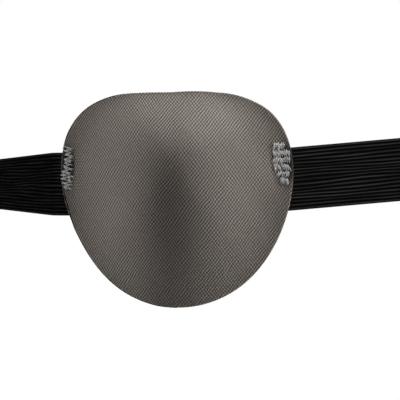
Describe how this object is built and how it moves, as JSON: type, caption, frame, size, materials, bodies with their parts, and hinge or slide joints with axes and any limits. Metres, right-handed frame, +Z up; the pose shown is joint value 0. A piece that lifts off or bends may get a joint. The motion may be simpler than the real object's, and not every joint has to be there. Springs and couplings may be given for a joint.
{
  "type": "eye patch",
  "caption": "Moulded satin eye patch with a hollow domed cup, joined at both sides to a wide black ribbed elastic head strap with a slider and ring at the back.",
  "frame": {"origin": "middle of the patch's flat rim, where it rests on the face, level with the strap", "axes": "+X to the right of someone facing the patch, +Y into the wearer's head, +Z up"},
  "size_m": [0.2314, 0.1339, 0.0858],
  "materials": {
    "satin": "satin weave",
    "foam": "moulded foam",
    "blackout_film": "matt",
    "wadding": "soft felt",
    "lining": "brushed tricot",
    "seam_thread": "thread",
    "tack_thread": "bright thread",
    "elastic": "ribbed elastic",
    "strap_thread": "thread",
    "plastic": "moulded"
  },
  "bodies": {
    "strap": {"short_strap": "elastic", "ring_loop_stitches": "strap_thread", "long_strap": "elastic", "strap_turn": "elastic", "strap_return": "elastic"},
    "patch": {"front_cover": "satin", "foam_cup": "foam", "light_block": "blackout_film", "soft_wadding": "wadding", "back_lining": "lining", "rim_seam": "seam_thread", "left_strap_tab": "elastic", "right_strap_tab": "elastic", "left_tack": "tack_thread", "right_tack": "tack_thread"},
    "ring": {"ring": "plastic"},
    "slider": {"slider": "plastic", "strap_end_loop": "elastic", "slider_loop_stitches": "strap_thread"}
  },
  "joints": [
    {"name": "patch_tilt", "type": "hinge", "parent": "strap", "child": "patch", "pos_m": [0, -0.002, 0], "axis": [-1, 0, 0], "range_deg": [-15, 50], "stiffness_Nm_per_rad": 0.01},
    {"name": "slider_slide", "type": "slide", "parent": "strap", "child": "slider", "axis": [0.9962, 0, 0.0872], "range_m": [-0.008, 0.018], "deforming": ["strap_return"]},
    {"name": "ring_tilt", "type": "hinge", "parent": "strap", "child": "ring", "pos_m": [0.02206, 0.11329, 0.0015], "axis": [-0.0871, -0.0235, 0.9959], "range_deg": [-20, 20], "stiffness_Nm_per_rad": 0.002, "deforming": ["strap_turn"]}
  ]
}
